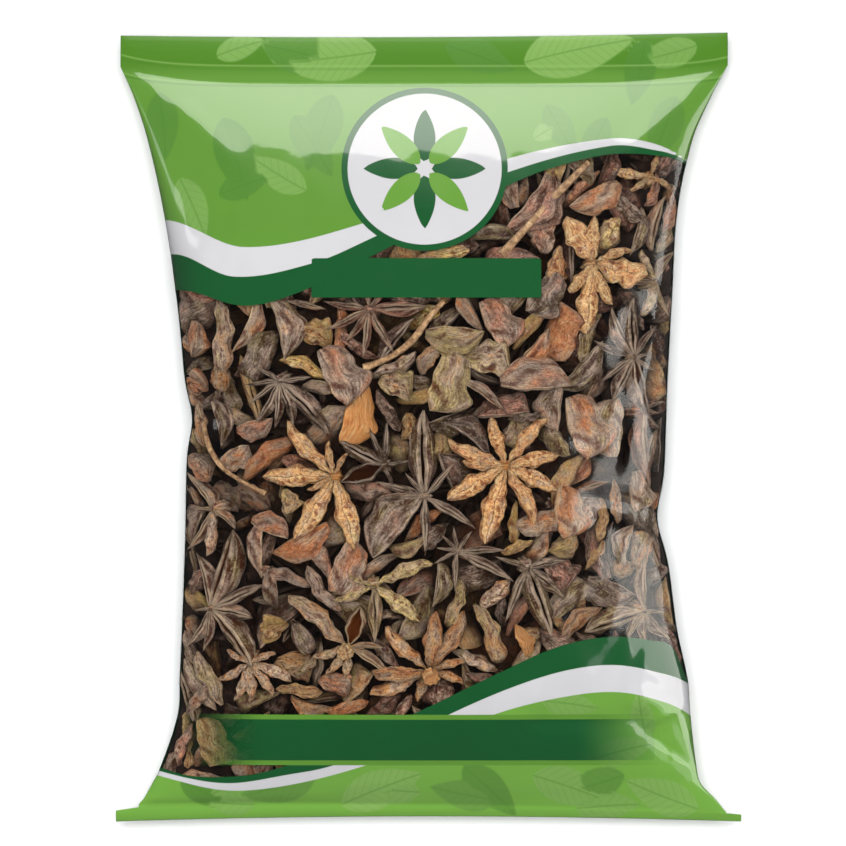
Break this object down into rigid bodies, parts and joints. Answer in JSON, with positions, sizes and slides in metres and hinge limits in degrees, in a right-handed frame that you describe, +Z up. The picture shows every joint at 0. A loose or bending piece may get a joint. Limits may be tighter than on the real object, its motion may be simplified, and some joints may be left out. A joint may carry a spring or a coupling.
{
  "type": "bag of star anise",
  "caption": "Sealed pillow bag of printed film with a clear window, filled with whole dried star anise pods.",
  "frame": {"origin": "on the floor, under the middle of the bag's box", "axes": "+X across the bag, +Y towards the top seal, +Z up through the window"},
  "size_m": [0.1442, 0.182, 0.046],
  "materials": {
    "printed_film": "gloss",
    "clear_film": "gloss",
    "star_anise": "matte"
  },
  "bodies": {
    "root": {"bag": "printed_film"}
  },
  "joints": []
}
